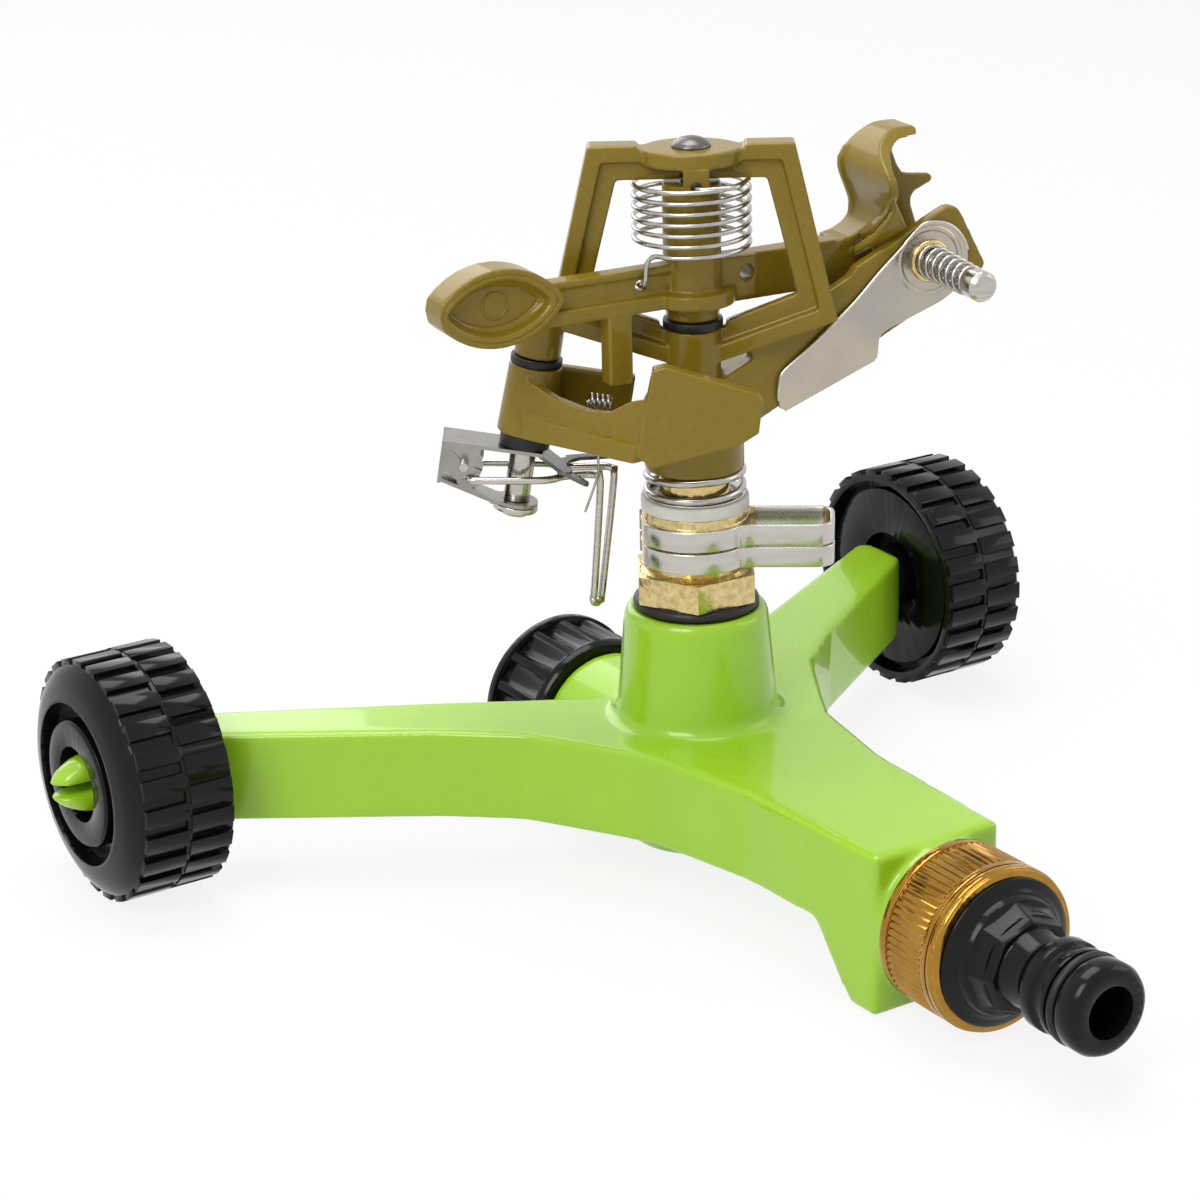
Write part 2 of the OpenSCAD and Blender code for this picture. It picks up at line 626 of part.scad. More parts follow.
module hammer_arm() {
  color(olive)
  arm_frame()
  difference() {
    union() {
      translate([0, 0, 110.2]) cylinder(r = 5, h = 4);
      translate([0, 0, 112]) cylinder(r = sleeve_r, h = sleeve_top_z - 112);
      translate([0, 0, 113.2]) cylinder(r = 8, h = 2.8);
      translate([-34, -1.4, 113.2]) cube([36, 2.8, 8.1]);
      translate([-34, -2.8, 113.2]) cube([34, 5.6, 2.8]);
      translate([-34, -2, 119.9]) cube([34, 4, 1.4]);
      translate([-18.9, -3, 100.2]) cube([4.8, 4, 14]);
      translate([0, -3, 113.2]) cube([12, 6, 8]);
      translate([2, -2.2, 112.4]) cube([30, 4.4, 8.9]);
      translate([13.2 - cup_reach, 3, 118.6]) rotate([90, 0, 0]) linear_extrude(7) cup_plan(0);
      spoon();
    }
    translate([0, 0, 100]) cylinder(r = arm_pin_r + fit, h = 60);
    translate([13.2 - cup_reach, -1.2, 118.6]) rotate([90, 0, 0]) linear_extrude(7) cup_plan(1.5);
    translate([10.15, 10, 117.9]) rotate([90, 0, 0]) cylinder(r = 1.5, h = 20, $fn = 32);
    translate([-11.4, 10, 118.1]) rotate([90, 0, 0]) cylinder(r = 1.1, h = 20, $fn = 32);
  }
}
// Torsion spring of the hammer arm: its upper end lies in the bridge lug, its lower end in the arm.
function in_arm(p) = [
  p.x * cos(arm_yaw) - p.y * sin(arm_yaw), p.x * sin(arm_yaw) + p.y * cos(arm_yaw), p.z
];
function arm_path() = concat(
  [for (p = [[-11.4, 0.6, 118.1], [-11.4, -1.8, 118.1], [-11.4, -2.7, 118.7], [-11.3, -2.8, 119.8],
    [-11.2, -2.8, 121.5], [-10.9, -2.9, 122.5]]) in_arm(p)],
  helix(arm_coil_r - arm_wire / 2, coil_z0, coil_z1, 6.33, 228),
  [[8, -8.6, coil_z1], [4.6, -9.4, coil_z1 - 0.1], [1.8, -9.4, hook_z], [0.7, -8.6, hook_z],
    [0.7, -6.4, hook_z]]
);
module arm_spring() {
  color(steel) head() wire(arm_path(), arm_wire / 2);
}

module deflector_pin() {
  color(steel)
  barrel_frame() translate([pin_s, -cheek_b, pin_n]) rotate([90, 0, 0]) {
    translate([0, 0, -2.4]) cylinder(r = flap_pin_r, h = flap_pin_len + 2);
    translate([0, 0, flap_t + 0.1]) cylinder(r = 2.4, h = 1.6);
    translate([0, 0, flap_pin_len - 4.2]) cylinder(r = 2.9, h = 3.4);
    translate([0, 0, flap_pin_len - 0.8]) cylinder(r1 = 2.9, r2 = 2.2, h = 0.8);
  }
}
function deflector_path() = helix(3.1, flap_t + 0.55, flap_pin_len - 4.75, 6.5, 0, -0.5);
module deflector_spring() {
  color(steel)
  barrel_frame() translate([pin_s, -cheek_b, pin_n]) rotate([90, 0, 0])
    wire(deflector_path(), 0.42);
}
// Sheet flap beside the barrel: a round end about the pin and a lip bent under the barrel.
module deflector_flap() {
  color(steel)
  barrel_frame()
  difference() {
    union() {
      translate([0, -cheek_b - 0.04, 0]) rotate([90, 0, 0]) linear_extrude(flap_t) union() {
        translate([pin_s, pin_n]) circle(r = 7.6);
        polygon([[pin_s - 3.4, pin_n + 6.8], [15.8, -1.2], [14.4, -3], [14.2, -6.8], [35.2, -8.9],
          [37.2, -6.2], [39.6, -5.6], [pin_s, -5.6]]);
      }
      translate([14.2, -cheek_b - 0.84, -7.6]) rotate([0, 5.6, 0]) cube([21, 4.4, 0.8]);
    }
    translate([pin_s, 0, pin_n]) rotate([90, 0, 0]) cylinder(r = flap_pin_r + fit, h = 20);
  }
}

module post_pin() {
  color(steel)
  post_frame() {
    translate([0, 0, -22.2]) cylinder(r = post_r, h = 36);
    translate([0, 0, -23]) cylinder(r1 = 2.4, r2 = 3, h = 0.9);
  }
}
module lever_washer() {
  color(black) post_frame() ring(4.9, post_r + fit, 7.1, 8.5);
}
module lever_bush() {
  color(black) post_frame() ring(4.8, post_r + fit, -9.2, -6.6);
}
module post_sleeve() {
  color(steel) post_frame() ring(2.5, post_r + fit, -20, -10.05);
}
module post_washer() {
  color(steel) post_frame() ring(4.3, post_r + fit, -22.05, -20.9);
}
// Lever with a boss on the post, two side walls joined by a floor, and the reversing vane.
module reversing_lever() {
  color(olive)
  post_frame()
  difference() {
    union() {
      translate([0, 0, -6.5]) cylinder(r1 = lever_boss_r + 0.4, r2 = lever_boss_r - 0.2, h = 13.5);
      rotate([0, 0, -36.9]) translate([0, -2.4, 0]) rotate([90, 0, 0]) linear_extrude(2.6)
        polygon([[0, 6.8], [3, 4.6], [8, 3.4], [16, 3.2], [21, 4.4], [25, 7.6], [29, 9.4], [29, -3],
          [12, -5], [0, -6.4]]);
      rotate([0, 0, -36.9]) translate([0, -2.4, 0]) rotate([90, 0, 0]) linear_extrude(3.6)
        polygon([[3, -6.2], [12, -5], [29, -3], [29, 0.6], [14, -0.6], [3, -1.6]]);
      translate([2, 2, 0]) rotate([90, 0, 0]) translate([0, 0, -2.4]) linear_extrude(2.4)
        polygon([[0, -3], [0, 6.4], [17, 6.4], [17, 0], [14, -3]]);
      translate([0, 0, -3]) linear_extrude(1.6) polygon([
        [0, -4.6], [20, -20], [22.5, -20], [21.6, -14], [19, 4.4], [0, 4.4]
      ]);
      translate([0, -20, 0]) rotate([90, 0, 0]) linear_extrude(vane_t)
        polygon([[19.7, -1], [20.3, 15.5], [22.4, 16.4], [39.6, 13.8], [41, 12.6], [41.2, 6.4],
          [38, 3.6], [23, -3]]);
    }
    translate([0, 0, -30]) cylinder(r = post_r + fit, h = 60);
    translate([12.5, -7, -5]) cylinder(r = 1.4, h = 6, $fn = 24);
  }
}
// Small torsion spring between the lever and the trip bracket.
function trip_path() = concat(
  [[13.1, -4, -19.6], [14.2, -4.5, -13.3], [14.3, -6.1, -10.3], [13.9, -6.8, -7.8],
    [13.62, -7, -3.6], [13.62, -7, -0.8], [12.6, -7, 1.2]],
  [for (q = helix(1.25, 0, 4.6, 4.6, 180)) [10.2 + q.z, -6 + q.x, 3.1 + q.y]]
);
module trip_spring() {
  color(steel) post_frame() wire(trip_path(), 0.25);
}
// Fork bent down from the bracket's top plate, with its tines outside the hairpin's two legs.
module trip_fork() {
  translate([-29.2, 0, 84.42]) rotate([0, 39.5, 0]) linear_extrude(trip_t)
    polygon([[-0.6, -4.2], [5, -4.5], [5, 3.1], [2.4, 3.2], [-0.6, 4.2]]);
  translate([0, 0, 81.3]) linear_extrude(trip_t)
    polygon([[-26, -4.5], [-23.6, -5.6], [-23.1, -3.7], [-24.1, -1.6], [-24.3, 0], [-23.5, 2.2],
      [-21.6, 3.7], [-21.8, 5.3], [-26, 3.1]]);
  translate([-24.9, 0, 81.5]) rotate([0, 28, 0]) linear_extrude(trip_t)
    polygon([[-0.7, -5.4], [-0.7, -3.75], [3.2, -3.8], [5, -4.4], [5.2, -5.6], [4.4, -6.2], [2, -6.1]]);
  translate([-22.6, 0, 81.32]) linear_extrude(trip_t)
    polygon([[-1.6, 2.4], [0, 3.6], [3, 3.8], [6.6, 4.3], [6.4, 5.7], [3, 5.9], [-1.8, 5]]);
}
// Sheet bracket on the post: eyelet plates on both sides, a fork above and a strip below.
module trip_bracket() {
  color(steel)
  post_frame()
  difference() {
    union() {
      translate([-15.4, -4.3, -9.95]) cube([19, 8.6, trip_t]);
      for (m = [-1, 1])
        translate([0, m * 4.3, 0]) mirror([0, m > 0 ? 1 : 0, 0]) translate([0, trip_t, 0])
          rotate([90, 0, 0]) linear_extrude(trip_t) union() {
            translate([-10.6, -13.4]) circle(r = 3.4);
            translate([-9.6, -16.2]) circle(r = 2.2);
            polygon([[-15.4, -15], [-15.4, -9.25], [-8, -9.25], [-8, -13.5], [-12.4, -15.6]]);
          }
      translate([-15.4, -4.3, -17.6]) cube([trip_t, 8.6, 8.2]);
      translate([-15.4, -3, -17.6]) rotate([0, 15.5, 0]) cube([11.4, 6, trip_t]);
      translate([-4.9, -3, -20.78]) cube([5, 6, trip_t]);
      translate([0, 0, -20.78]) cylinder(r = 4.2, h = trip_t);
      rotate([0, -post_tilt, 0]) translate([-bush_x, 0, -bush_z]) trip_fork();
    }
    translate([0, 0, -30]) cylinder(r = post_r + fit, h = 60);
    translate([-10.8, 10, -13]) rotate([90, 0, 0]) cylinder(r = 0.85, h = 20, $fn = 24);
    translate([-9.5, 10, -16]) rotate([90, 0, 0]) cylinder(r = trip_wire_d / 2 + fit, h = 20, $fn = 24);
  }
}
module trip_cross_pin() {
  color(steel) post_frame() translate([-10.8, 5.6, -13]) rotate([90, 0, 0])
    cylinder(r = 0.82, h = 12.8, $fn = 24);
}
// Hairpin whose two ends turn inwards through the eyelet plates.
module trip_wire() {
  color(steel) head()
    wire([
      [-42.55, -3.1, 80.75], [-42.55, -4.9, 80.75], [-42.2, -5.35, 80.75], [-41.4, -5.4, 80.75],
      [-29, -5.1, 80.4], [-24.5, -2.8, 80.35], [-20.5, -2.3, 80.45], [-18.6, -2.3, 80.2], [-17.9, -2.4, 79.2],
      [-19.4, -2, 58], [-19.8, -1.9, 55.6], [-19.6, -1.6, 54.4], [-18.9, -0.9, 54.1],
      [-18.3, -0.2, 54.6], [-18, 0.1, 56], [-15.3, 1.8, 78.4], [-15.8, 2.2, 80.1], [-17.4, 2.3, 80.45],
      [-24.5, 2.8, 80.35], [-29, 5.1, 80.4], [-41.4, 5.4, 80.75], [-42.2, 5.35, 80.75],
      [-42.55, 4.9, 80.75], [-42.55, 3.1, 80.75]
    ], trip_wire_d / 2, 8);
}

echo(arm_spring_gap = least_gap(arm_path(), arm_wire / 2));
echo(riser_spring_gap = least_gap(riser_path(), riser_wire / 2));
echo(deflector_spring_gap = least_gap(deflector_path(), 0.42));
echo(trip_spring_gap = least_gap(trip_path(), 0.25));
translate([0, shift_y, 0]) {
  base_casting();
  left_wheel();
  right_wheel();
  boss_oring();
  inlet_washer();
  coupling_ring();
  tap_adapter();
  adapter_oring();
  rear_cap();
  cap_washer();
  nipple();
  bearing_tube();
  bearing_washer();
  bearing_seal();
  nylon_washer();
  steel_washer();
  riser_spring();
  lower_collar();
  upper_collar();
  head_casting();
  jet_nozzle();
  arm_pin();
  arm_washer();
  hammer_arm();
  arm_spring();
  deflector_pin();
  deflector_spring();
  deflector_flap();
  post_pin();
  lever_washer();
  reversing_lever();
  lever_bush();
  trip_spring();
  post_sleeve();
  post_washer();
  trip_bracket();
  trip_cross_pin();
  trip_wire();
}
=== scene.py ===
import math
import bmesh
import bpy
from mathutils import Matrix, Vector

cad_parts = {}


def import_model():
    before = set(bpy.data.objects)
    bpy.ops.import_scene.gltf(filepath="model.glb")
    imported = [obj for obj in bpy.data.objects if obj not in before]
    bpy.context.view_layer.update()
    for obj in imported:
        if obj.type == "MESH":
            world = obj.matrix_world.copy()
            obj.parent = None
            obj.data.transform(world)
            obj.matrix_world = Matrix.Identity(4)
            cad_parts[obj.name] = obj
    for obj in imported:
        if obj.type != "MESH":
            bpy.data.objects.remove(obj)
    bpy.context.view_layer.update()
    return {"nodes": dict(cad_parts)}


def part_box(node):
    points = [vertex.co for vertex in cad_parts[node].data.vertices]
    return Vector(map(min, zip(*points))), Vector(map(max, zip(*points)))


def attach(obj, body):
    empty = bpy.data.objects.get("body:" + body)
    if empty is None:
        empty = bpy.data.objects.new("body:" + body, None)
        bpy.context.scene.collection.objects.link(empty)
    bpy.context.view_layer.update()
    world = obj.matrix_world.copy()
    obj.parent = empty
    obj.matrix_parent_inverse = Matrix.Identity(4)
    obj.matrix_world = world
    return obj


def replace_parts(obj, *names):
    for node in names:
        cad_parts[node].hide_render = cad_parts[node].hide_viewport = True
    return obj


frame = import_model()
scene = bpy.context.scene
MM = 0.001

# camera, solved from the photo, in degrees and mm
CAMERA_ROUND = 32.65
CAMERA_DOWN = 20.59
CAMERA_ROLL = -1.27
CAMERA_DISTANCE = 669.03
CAMERA_LENS = 104.54
CAMERA_SENSOR = 36
AIM_RIGHT = -18.46
AIM_UP = 54.22

# driving places, as in the CAD source, in mm and degrees
RISER = Vector((0, 22.65, 0))
HEAD_ANGLE = 32.65
BARREL_Z = 91
BARREL_YAW = 22
BARREL_TILT = 27
ARM_YAW = 26.6
POST_X = -30.6
POST_Z = 95
POST_TILT = 9.5
FRONT_LEN = 75.3
WATER_Z = 16.6
PIN_S = 53.1
PIN_OUT = 5
PIN_Z = 1.8
CUP_X = -41.2
CUP_Z = 118.6
CUP_REACH = 13.2
CUP_RISE = 7.35
LOWER_COLLAR_Z = 62.8
UPPER_COLLAR_Z = 67.2
COLLAR_R = 10.7
COLLAR_HEIGHT = 4.1
COLLAR_THICK = 0.9
COLLAR_TURN = -3.5

# springs and hairpin, in mm, with the radius of each wire
ARM_COIL_R = 10.735
ARM_COIL_Z = (124, 136.8)
ARM_COIL_TURNS = 6.33
ARM_WIRE_R = 0.465
RISER_COIL_R = 9.15
RISER_COIL_Z = 76.72
RISER_COIL_RISE = 3.66
RISER_WIRE_R = 0.7
FLAP_COIL_R = (3.1, 2.6)
FLAP_COIL_Z = (1.35, 17.75)
FLAP_COIL_TURNS = 6.5
FLAP_WIRE_R = 0.42
TRIP_COIL_R = 1.25
TRIP_COIL_LENGTH = 4.6
TRIP_COIL_TURNS = 4.6
TRIP_WIRE_R = 0.25
HAIRPIN_WIRE_R = 0.72

# places of the looks, in mm
ARM_TIP_X = -52.6
FORK_X = -30.2
FORK_Z = 78.6
DOME_FOOT_Z = 142.62
FLAP_FRONT_Y = -5.84
FLAP_BACK_Y = -5.04
LUG_EYE_X = 0.7
LUG_EYE_Z = 136.6
LUG_FRONT_Y = -7.8
LUG_BACK_Y = -5.9


# frames
def turn(deg, axis):
    return Matrix.Rotation(math.radians(deg), 4, axis)


def move(x, y, z):
    return Matrix.Translation((x, y, z))


ROOT = move(*RISER)
HEAD = ROOT @ turn(-HEAD_ANGLE, "Z")
BARREL = HEAD @ turn(BARREL_YAW, "Z") @ move(0, 0, BARREL_Z) @ turn(-BARREL_TILT, "Y")
ARM = HEAD @ turn(ARM_YAW, "Z")
POST = HEAD @ move(POST_X, 0, POST_Z) @ turn(POST_TILT, "Y")
INLET = ROOT @ move(0, -FRONT_LEN, WATER_Z) @ turn(90, "X")
DEFLECTOR = BARREL @ move(PIN_S, -PIN_OUT, PIN_Z) @ turn(90, "X")
FLAP_FACE = BARREL @ move(PIN_S, FLAP_FRONT_Y, PIN_Z) @ turn(90, "X")


def aim():
    """The camera, set round the riser, down and rolled, with its right, up and forward directions."""
    around = math.radians(CAMERA_ROUND)
    down = math.radians(CAMERA_DOWN)
    roll = math.radians(CAMERA_ROLL)
    forward = Vector((math.sin(around) * math.cos(down), math.cos(around) * math.cos(down), -math.sin(down)))
    level = Vector((math.cos(around), -math.sin(around), 0))
    upright = level.cross(forward)
    right = level * math.cos(roll) + upright * math.sin(roll)
    up = upright * math.cos(roll) - level * math.sin(roll)
    target = level * AIM_RIGHT + Vector((0, 0, AIM_UP)) + RISER
    place = (target - forward * CAMERA_DISTANCE) * MM
    data = bpy.data.cameras.new("camera")
    data.sensor_width = CAMERA_SENSOR
    data.lens = CAMERA_LENS
    data.clip_start = 0.01
    data.clip_end = 20
    cam = bpy.data.objects.new("camera", data)
    cam.matrix_world = Matrix((
        (right.x, up.x, -forward.x, place.x), (right.y, up.y, -forward.y, place.y),
        (right.z, up.z, -forward.z, place.z), (0, 0, 0, 1)))
    scene.collection.objects.link(cam)
    scene.camera = cam


aim()


# materials
def new_material(name):
    m = bpy.data.materials.new(name)
    m.use_nodes = True
    t = m.node_tree
    t.nodes.clear()
    out = t.nodes.new("ShaderNodeOutputMaterial")
    p = t.nodes.new("ShaderNodeBsdfPrincipled")
    t.links.new(p.outputs[0], out.inputs[0])
    return m, t, p


def coords(t, scale):
    c = t.nodes.new("ShaderNodeTexCoord")
    m = t.nodes.new("ShaderNodeMapping")
    m.inputs["Scale"].default_value = scale
    t.links.new(c.outputs["Object"], m.inputs[0])
    return m.outputs[0]


def noise(t, vec, scale, detail, rough=0.55):
    n = t.nodes.new("ShaderNodeTexNoise")
    n.inputs["Scale"].default_value = scale
    n.inputs["Detail"].default_value = detail
    n.inputs["Roughness"].default_value = rough
    t.links.new(vec, n.inputs["Vector"])
    return n.outputs[0]


def ramp(t, fac, stops):
    r = t.nodes.new("ShaderNodeValToRGB")
    e = r.color_ramp.elements
    while len(e) < len(stops):
        e.new(0.5)
    for i, (pos, col) in enumerate(stops):
        e[i].position = pos
        e[i].color = (*col, 1)
    t.links.new(fac, r.inputs[0])
    return r.outputs[0]


def remap(t, fac, lo, hi, a=0.3, b=0.7):
    m = t.nodes.new("ShaderNodeMapRange")
    m.inputs["From Min"].default_value = a
    m.inputs["From Max"].default_value = b
    m.inputs["To Min"].default_value = lo
    m.inputs["To Max"].default_value = hi
    t.links.new(fac, m.inputs[0])
    return m.outputs[0]


def bump(t, heights, p):
    last = None
    for h, strength, dist in heights:
        b = t.nodes.new("ShaderNodeBump")
        b.inputs["Strength"].default_value = strength
        b.inputs["Distance"].default_value = dist
        t.links.new(h, b.inputs["Height"])
        if last is not None:
            t.links.new(last, b.inputs["Normal"])
        last = b.outputs[0]
    t.links.new(last, p.inputs["Normal"])


def finish_of(name, light, dark, rough, metal=0.0, coat=0.0, coat_rough=0.06, mottle=140, grain=2600,
              grain_strength=0.1, grain_depth=0.00004, wave=0.0, stretch=(1, 1, 1), ior=1.5, level=0.5):
    """A finish with a slow mottle of two close colours, a fine grain and, at will, a slow wave."""
    m, t, p = new_material(name)
    vec = coords(t, stretch)
    slow = noise(t, vec, mottle, 3)
    fine = noise(t, vec, grain, 2)
    t.links.new(ramp(t, slow, [(0.3, dark), (0.7, light)]), p.inputs["Base Color"])
    t.links.new(remap(t, fine, rough[0], rough[1]), p.inputs["Roughness"])
    p.inputs["Metallic"].default_value = metal
    p.inputs["IOR"].default_value = ior
    p.inputs["Specular IOR Level"].default_value = level
    p.inputs["Coat Weight"].default_value = coat
    p.inputs["Coat Roughness"].default_value = coat_rough
    hs = [(fine, grain_strength, grain_depth)]
    if wave:
        hs.append((noise(t, vec, 90, 1), wave, 0.0012))
    bump(t, hs, p)
    return m


FINISH = {}
FINISH["green"] = finish_of(
    "green_paint", (0.335, 0.60, 0.020), (0.310, 0.57, 0.016), (0.26, 0.36), coat=0.55, coat_rough=0.04,
    mottle=60, grain=1800, grain_strength=0.03, grain_depth=0.00002, wave=0.04, level=0.3)
FINISH["olive"] = finish_of(
    "olive_paint", (0.232, 0.158, 0.010), (0.212, 0.142, 0.008), (0.30, 0.42), metal=0.08, coat=0.40,
    coat_rough=0.04, mottle=700, grain=4200, grain_strength=0.05, grain_depth=0.00002, wave=0.06,
    level=0.14)
FINISH["black"] = finish_of(
    "black_plastic", (0.0050, 0.0050, 0.0056), (0.0036, 0.0036, 0.0041), (0.11, 0.18), mottle=200,
    grain=1200, grain_strength=0.02, grain_depth=0.00002, ior=1.40, level=0.30)
FINISH["rubber"] = finish_of(
    "black_rubber", (0.008, 0.008, 0.008), (0.005, 0.005, 0.005), (0.36, 0.5), mottle=300, grain=3000,
    grain_strength=0.1, ior=1.42)
FINISH["grey_rubber"] = finish_of(
    "grey_rubber", (0.06, 0.06, 0.065), (0.045, 0.045, 0.05), (0.5, 0.65), mottle=300, grain=3000,
    grain_strength=0.2)
FINISH["nylon"] = finish_of(
    "white_nylon", (0.70, 0.69, 0.64), (0.62, 0.61, 0.56), (0.38, 0.5), mottle=300, grain=2600,
    grain_strength=0.1)
FINISH["brass"] = finish_of(
    "brass", (0.74, 0.60, 0.31), (0.50, 0.37, 0.145), (0.12, 0.28), metal=1.0, mottle=900, grain=1300,
    grain_strength=0.35, grain_depth=0.00010)
FINISH["tube"] = finish_of(
    "tube_brass", (0.70, 0.54, 0.26), (0.56, 0.40, 0.17), (0.12, 0.24), metal=1.0, mottle=500,
    grain=2600, grain_strength=0.08, stretch=(1, 1, 6))
FINISH["gold"] = finish_of(
    "gold_aluminium", (0.42, 0.225, 0.040), (0.33, 0.17, 0.026), (0.12, 0.20), metal=1.0, mottle=300,
    grain=2200, grain_strength=0.05)
FINISH["steel"] = finish_of(
    "stainless_sheet", (0.56, 0.53, 0.485), (0.44, 0.415, 0.38), (0.16, 0.30), metal=1.0, mottle=260,
    grain=1500, grain_strength=0.08, grain_depth=0.00002, stretch=(1, 1, 9))
FINISH["sheet"] = finish_of(
    "stainless_strip", (0.58, 0.555, 0.51), (0.50, 0.475, 0.435), (0.20, 0.30), metal=1.0, mottle=90,
    grain=1600, grain_strength=0.03, grain_depth=0.00001, stretch=(1, 1, 7))
FINISH["bracket"] = finish_of(
    "pressed_sheet", (0.36, 0.345, 0.32), (0.27, 0.26, 0.24), (0.20, 0.32), metal=1.0, mottle=160,
    grain=1600, grain_strength=0.03, grain_depth=0.00001)
# flap: its mottle runs from a cool grey to a warm tone; the warm patches are a painted reflection of the
# olive and gold parts nearby
FINISH["flap"] = finish_of(
    "flap_sheet", (0.52, 0.45, 0.355), (0.40, 0.37, 0.335), (0.16, 0.28), metal=1.0, mottle=55,
    grain=1500, grain_strength=0.05, grain_depth=0.00002)
FINISH["wire"] = finish_of(
    "spring_wire", (0.50, 0.48, 0.45), (0.38, 0.36, 0.34), (0.16, 0.26), metal=1.0, mottle=500,
    grain=3000, grain_strength=0.03, grain_depth=0.00002)
FINISH["dark_steel"] = finish_of(
    "dark_sheet", (0.17, 0.16, 0.15), (0.10, 0.095, 0.09), (0.22, 0.36), metal=1.0, mottle=300,
    grain=2600, grain_strength=0.08)


# mesh helpers
def weld(node):
    """A new mesh of a CAD node with its corners welded."""
    bm = bmesh.new()
    bm.from_mesh(frame["nodes"][node].data)
    bmesh.ops.remove_doubles(bm, verts=bm.verts, dist=2e-6)
    return bm


def add(name, bm, body, mat, smooth=True):
    """A visible piece from a mesh, riding a body and its material."""
    me = bpy.data.meshes.new(name)
    bm.normal_update()
    bm.to_mesh(me)
    bm.free()
    o = bpy.data.objects.new(name, me)
    scene.collection.objects.link(o)
    if smooth:
        me.shade_smooth()
    me.materials.append(FINISH[mat])
    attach(o, body)
    return o


def bake(o):
    """The modifiers of a piece made into its mesh."""
    dg = bpy.context.evaluated_depsgraph_get()
    dg.update()
    me = bpy.data.meshes.new_from_object(o.evaluated_get(dg))
    o.modifiers.clear()
    o.data = me


def cast(name, node, body, mat, voxel, rounds):
    """The CAD form with rounded edges: remeshed, smoothed, and held inside the CAD box."""
    o = add(name, weld(node), body, mat)
    skin = o.modifiers.new("skin", "REMESH")
    skin.mode = "VOXEL"
    skin.voxel_size = voxel * MM
    skin.use_smooth_shade = True
    soften = o.modifiers.new("soften", "SMOOTH")
    soften.factor = 0.5
    soften.iterations = rounds
    bake(o)
    o.data.shade_smooth()
    hold_inside(o, node)
    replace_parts(o, node)
    return o


def hold_inside(o, node):
    """Keeps every point of a piece inside the box of its CAD node."""
    lo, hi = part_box(node)
    for v in o.data.vertices:
        for i in range(3):
            v.co[i] = min(max(v.co[i], lo[i]), hi[i])


def bevelled(o, width, seg=3, angle=40):
    """Rounds the edges that turn by more than the angle."""
    edge = o.modifiers.new("edge", "BEVEL")
    edge.width = width * MM
    edge.segments = seg
    edge.limit_method = "ANGLE"
    edge.angle_limit = math.radians(angle)
    edge.use_clamp_overlap = True
    edge.harden_normals = True
    bake(o)
    return o


def edged(name, node, body, mat, width, seg=2, angle=32):
    """The CAD form with small bevels on its edges."""
    o = bevelled(add(name, weld(node), body, mat), width, seg, angle)
    hold_inside(o, node)
    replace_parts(o, node)
    return o


def span(p0, p1, p2, p3, step):
    """Points from p1 towards p2 on the Catmull-Rom curve through all four, about every step."""
    count = max(1, int((p2 - p1).length / step))
    out = []
    for j in range(count):
        q = j / count
        low = 2 * p1 + (p2 - p0) * q + (2 * p0 - 5 * p1 + 4 * p2 - p3) * q * q
        high = (3 * p1 - p0 - 3 * p2 + p3) * q * q * q
        out.append((low + high) / 2)
    return out


def smooth_path(points, step=0.5):
    """An open smooth path through the points, in mm."""
    pts = [Vector(p) for p in points]
    last = len(pts) - 1
    out = []
    for i in range(last):
        out += span(pts[max(i - 1, 0)], pts[i], pts[i + 1], pts[min(i + 2, last)], step)
    return out + [pts[-1]]


def rounded(points, step=0.6):
    """A closed smooth outline through (x, z) points."""
    pts = [Vector((x, z, 0)) for x, z in points]
    n = len(pts)
    out = []
    for i in range(n):
        out += span(pts[i - 1], pts[i], pts[(i + 1) % n], pts[(i + 2) % n], step)
    return [(p.x, p.y) for p in out]


def close_up(bm):
    """Turns the faces of a finished mesh outwards."""
    bmesh.ops.recalc_face_normals(bm, faces=bm.faces)
    return bm


def band(bm, a, b):
    """The ring of faces between two closed rings of points."""
    n = len(a)
    for i in range(n):
        bm.faces.new((a[i], a[(i + 1) % n], b[(i + 1) % n], b[i]))


def capped(bm, rings):
    """Bands between rings in a row, with a face at each end."""
    for a, b in zip(rings, rings[1:]):
        band(bm, a, b)
    bm.faces.new(list(reversed(rings[0])))
    bm.faces.new(rings[-1])
    return close_up(bm)


def swept(path, radius, place, sides=12):
    """A round wire with rounded ends along a path of points in mm, carried by the matrix place."""
    pts = [place @ p for p in path]
    n = len(pts)
    side = None
    stations = []
    for i in range(n):
        t = (pts[min(i + 1, n - 1)] - pts[max(i - 1, 0)]).normalized()
        if side is None:
            ref = Vector((0, 0, 1)) if abs(t.z) < 0.8 else Vector((0, 1, 0))
            side = ref.cross(t).normalized()
        side = (side - t * side.dot(t)).normalized()
        stations.append((pts[i], t, side.copy(), radius))
    p, t, s = stations[0][:3]
    head = [(p - t * radius * math.sin(a) + t * radius * 0.98, t, s, radius * math.cos(a))
            for a in (1.25, 0.8, 0.4)]
    p, t, s = stations[-1][:3]
    tail = [(p + t * radius * math.sin(a) - t * radius * 0.98, t, s, radius * math.cos(a))
            for a in (0.4, 0.8, 1.25)]
    bm = bmesh.new()
    rings = []
    angles = [2 * math.pi * k / sides for k in range(sides)]
    for p, t, s, r in head + stations[1:-1] + tail:
        w = t.cross(s)
        rings.append([bm.verts.new((p + (s * math.cos(a) + w * math.sin(a)) * r) * MM) for a in angles])
    return capped(bm, rings)


def helix(radii, heights, turns, start, per_turn):
    """The turns of a coil between two radii and two heights, from a start in degrees."""
    n = int(turns * per_turn)
    out = []
    for i in range(n + 1):
        radius = radii[0] + (radii[1] - radii[0]) * i / n
        angle = math.radians(start + 360 * turns * i / n)
        height = heights[0] + (heights[1] - heights[0]) * i / n
        out.append(Vector((radius * math.cos(angle), radius * math.sin(angle), height)))
    return out


